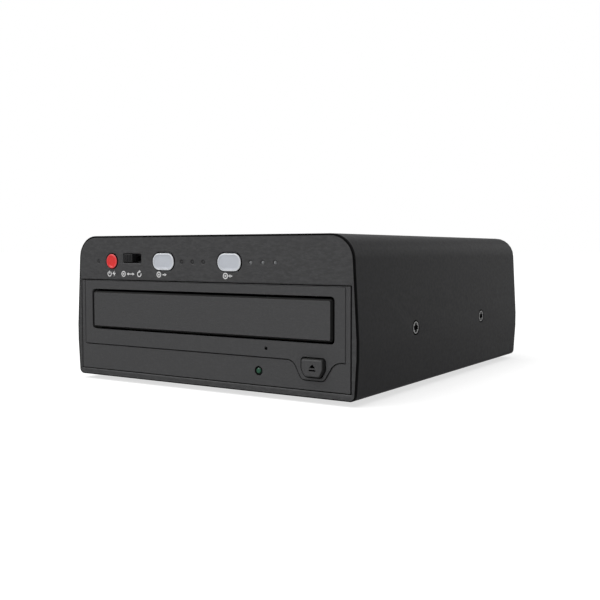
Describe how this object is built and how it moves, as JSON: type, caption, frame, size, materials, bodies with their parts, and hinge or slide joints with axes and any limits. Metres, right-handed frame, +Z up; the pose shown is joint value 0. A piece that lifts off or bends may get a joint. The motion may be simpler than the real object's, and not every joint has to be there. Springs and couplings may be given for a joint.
{
  "type": "external optical drive",
  "caption": "Black desktop case with a tray-loading optical drive, and a strip of push buttons, a slide switch and lights above the tray.",
  "frame": {"origin": "on the table, under the middle of the object's box; the rubber feet stand on Z = 0", "axes": "+Y to the back, so the tray opens along -Y; +X to the right as seen from the front; +Z up"},
  "size_m": [0.1542, 0.189, 0.068],
  "materials": {
    "black_paint": "satin black powder coat on folded sheet steel",
    "panel_plastic": "fine-grained charcoal moulding",
    "bezel_plastic": "fine-grained charcoal moulding, a little lighter than the panel",
    "dark_plastic": "black engineering plastic",
    "grey_key": "light grey key caps",
    "red_key": "red key cap",
    "light_pipe": "clear light guide, unlit",
    "green_lamp": "tinted green lamp lens, unlit",
    "zinc_steel": "bare zinc-plated sheet",
    "bright_steel": "bright plain steel",
    "screw_steel": "black-plated screw steel",
    "white_plastic": "natural white acetal",
    "board_green": "green solder mask on a circuit board",
    "black_rubber": "black moulded rubber",
    "lens_glass": "coated pickup lens",
    "cable_sheath": "flat lead in a dull red sheath"
  },
  "bodies": {
    "enclosure": {"case_cover": "black_paint", "base_plate": "black_paint", "rear_panel": "black_paint", "front_panel": "panel_plastic", "foot_front_left": "black_rubber", "foot_front_right": "black_rubber", "foot_rear_left": "black_rubber", "foot_rear_right": "black_rubber", "drive_screw_left_1": "screw_steel", "drive_screw_left_2": "screw_steel", "drive_screw_right_1": "screw_steel", "drive_screw_right_2": "screw_steel", "rear_screw_left": "screw_steel", "rear_screw_right": "screw_steel", "mode_switch_body": "zinc_steel", "power_tact_switch": "dark_plastic", "read_tact_switch": "dark_plastic", "write_tact_switch": "dark_plastic", "power_light_guide": "light_pipe", "read_light_guide": "light_pipe", "write_light_guide": "light_pipe", "control_board": "board_green", "main_board": "board_green", "board_bracket": "zinc_steel", "controller_chip": "dark_plastic", "usb_port": "bright_steel", "dc_jack": "dark_plastic", "data_cable": "cable_sheath", "control_cable": "white_plastic", "drive_bezel": "bezel_plastic", "drive_lamp": "green_lamp", "drive_top_cover": "zinc_steel", "drive_bottom_cover": "zinc_steel", "drive_frame": "dark_plastic", "traverse_deck": "zinc_steel", "spindle_motor": "bright_steel", "guide_rod_left": "bright_steel", "guide_rod_right": "bright_steel", "sled_motor": "bright_steel", "clamp_bridge": "zinc_steel", "loading_motor": "bright_steel", "drive_belt": "black_rubber", "drive_board": "board_green", "sata_connector": "dark_plastic"},
    "tray": {"tray_front": "bezel_plastic", "disc_tray": "dark_plastic"},
    "eject_key": {"eject_button": "bezel_plastic"},
    "power_key": {"power_button": "red_key"},
    "read_key": {"read_button": "grey_key"},
    "write_key": {"write_button": "grey_key"},
    "mode_knob": {"mode_switch_knob": "dark_plastic"},
    "disc_turntable": {"turntable": "dark_plastic"},
    "clamp_puck": {"disc_clamp": "white_plastic"},
    "sled": {"pickup_sled": "dark_plastic", "pickup_lens": "lens_glass"},
    "sled_screw": {"lead_screw": "bright_steel"},
    "pinion": {"tray_pinion": "white_plastic"},
    "reduction_gear": {"pulley_gear": "white_plastic"},
    "motor_shaft": {"motor_pulley": "white_plastic"}
  },
  "joints": [
    {"name": "tray_slide", "type": "slide", "parent": "enclosure", "child": "tray", "axis": [0, -1, 0], "range_m": [0, 0.135]},
    {"name": "eject_press", "type": "slide", "parent": "enclosure", "child": "eject_key", "axis": [0, 1, 0], "range_m": [0, 0.001], "stiffness_N_per_m": 1500, "springref_m": -0.0005},
    {"name": "power_press", "type": "slide", "parent": "enclosure", "child": "power_key", "axis": [0, 1, 0], "range_m": [0, 0.0015], "stiffness_N_per_m": 1500, "springref_m": -0.0005},
    {"name": "read_press", "type": "slide", "parent": "enclosure", "child": "read_key", "axis": [0, 1, 0], "range_m": [0, 0.001], "stiffness_N_per_m": 1500, "springref_m": -0.0005},
    {"name": "write_press", "type": "slide", "parent": "enclosure", "child": "write_key", "axis": [0, 1, 0], "range_m": [0, 0.001], "stiffness_N_per_m": 1500, "springref_m": -0.0005},
    {"name": "mode_slide", "type": "slide", "parent": "enclosure", "child": "mode_knob", "axis": [1, 0, 0], "range_m": [0, 0.0052]},
    {"name": "turntable_spin", "type": "hinge", "parent": "enclosure", "child": "disc_turntable", "pos_m": [0, -0.02175, 0.0172], "axis": [0, 0, 1], "continuous": true},
    {"name": "clamp_spin", "type": "hinge", "parent": "enclosure", "child": "clamp_puck", "pos_m": [0, -0.02175, 0.0402], "axis": [0, 0, 1], "continuous": true},
    {"name": "sled_slide", "type": "slide", "parent": "enclosure", "child": "sled", "axis": [0, 1, 0], "range_m": [0, 0.034]},
    {"name": "lead_screw_spin", "type": "hinge", "parent": "enclosure", "child": "sled_screw", "pos_m": [0.034, -0.01275, 0.0114], "axis": [0, 1, 0], "range_deg": [-5, 4086]},
    {"name": "pinion_spin", "type": "hinge", "parent": "enclosure", "child": "pinion", "pos_m": [-0.046, -0.06875, 0.0212], "axis": [0, 0, 1], "range_deg": [-5, 972]},
    {"name": "pulley_gear_spin", "type": "hinge", "parent": "enclosure", "child": "reduction_gear", "pos_m": [-0.025, -0.06875, 0.0182], "axis": [0, 0, 1], "range_deg": [-1939, 5]},
    {"name": "motor_pulley_spin", "type": "hinge", "parent": "enclosure", "child": "motor_shaft", "pos_m": [0.008, -0.06875, 0.0147], "axis": [0, 0, 1], "range_deg": [-7740, 5]}
  ],
  "couplings": [
    {"joint": "pinion_spin", "follows": "tray_slide", "rad_per_m": 125},
    {"joint": "pulley_gear_spin", "follows": "tray_slide", "rad_per_m": -250},
    {"joint": "motor_pulley_spin", "follows": "tray_slide", "rad_per_m": -1000},
    {"joint": "lead_screw_spin", "follows": "sled_slide", "rad_per_m": 2094.4}
  ]
}
